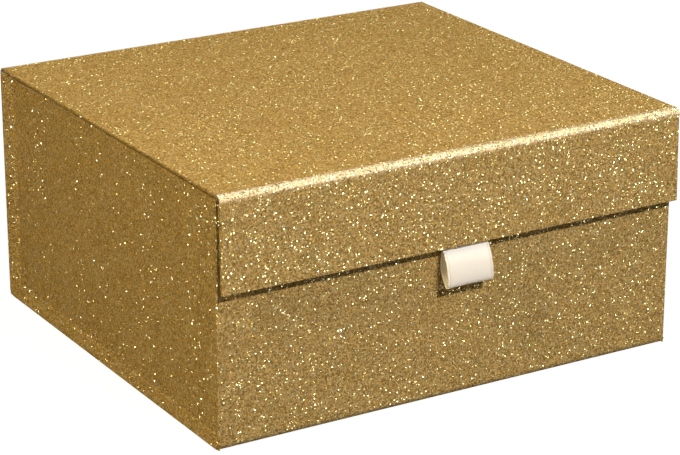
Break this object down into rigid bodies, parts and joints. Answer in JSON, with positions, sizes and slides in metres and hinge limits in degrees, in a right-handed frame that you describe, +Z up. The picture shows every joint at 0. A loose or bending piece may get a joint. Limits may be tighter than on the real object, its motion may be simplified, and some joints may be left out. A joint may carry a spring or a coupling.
{
  "type": "storage box",
  "caption": "Square low board box covered in gold glitter paper, with a hinged lid, a front flap with magnets and a satin ribbon loop to lift it, for papers and keepsakes.",
  "frame": {"origin": "the middle of the base's underside, on the surface the box stands on", "axes": "+Z up, -Y out of the front with the flap and the ribbon, +X to the right seen from the front"},
  "size_m": [0.22, 0.2072, 0.108],
  "materials": {
    "glitter_paper": "fine gold glitter",
    "lining_paper": "matt ivory",
    "greyboard": "raw grey",
    "tab_card": "matt ivory",
    "adhesive_tape": "double sided",
    "keeper_steel": "plain sheet",
    "magnet_plating": "nickel plated",
    "satin_ribbon": "cream satin"
  },
  "bodies": {
    "box": {"base_cover": "glitter_paper", "back_cover": "glitter_paper", "front_cover": "glitter_paper", "lid_hinge_paper": "glitter_paper", "flap_hinge_paper": "glitter_paper", "base_lining": "lining_paper", "back_lining": "lining_paper", "front_lining": "lining_paper", "base_board": "greyboard", "back_board": "greyboard", "front_board": "greyboard", "left_cover": "glitter_paper", "left_rear_web": "glitter_paper", "left_bottom_web": "glitter_paper", "left_board": "greyboard", "left_lining": "lining_paper", "left_tuck_tab": "tab_card", "left_tab_tape": "adhesive_tape", "right_cover": "glitter_paper", "right_rear_web": "glitter_paper", "right_bottom_web": "glitter_paper", "right_board": "greyboard", "right_lining": "lining_paper", "right_tuck_tab": "tab_card", "right_tab_tape": "adhesive_tape", "front_keepers": "keeper_steel"},
    "lid": {"lid_cover": "glitter_paper", "lid_board": "greyboard", "lid_lining": "lining_paper"},
    "flap": {"flap_cover": "glitter_paper", "flap_board": "greyboard", "flap_magnets": "magnet_plating", "flap_lining": "lining_paper", "ribbon_tab": "satin_ribbon"}
  },
  "joints": [
    {"name": "lid_hinge", "type": "hinge", "parent": "box", "child": "lid", "pos_m": [0, 0.09912, 0.10712], "axis": [-1, 0, 0], "range_deg": [0, 175], "deforming": ["lid_hinge_paper"]},
    {"name": "flap_hinge", "type": "hinge", "parent": "lid", "child": "flap", "pos_m": [0, -0.10312, 0.10712], "axis": [-1, 0, 0], "range_deg": [0, 90], "deforming": ["flap_hinge_paper"]}
  ]
}
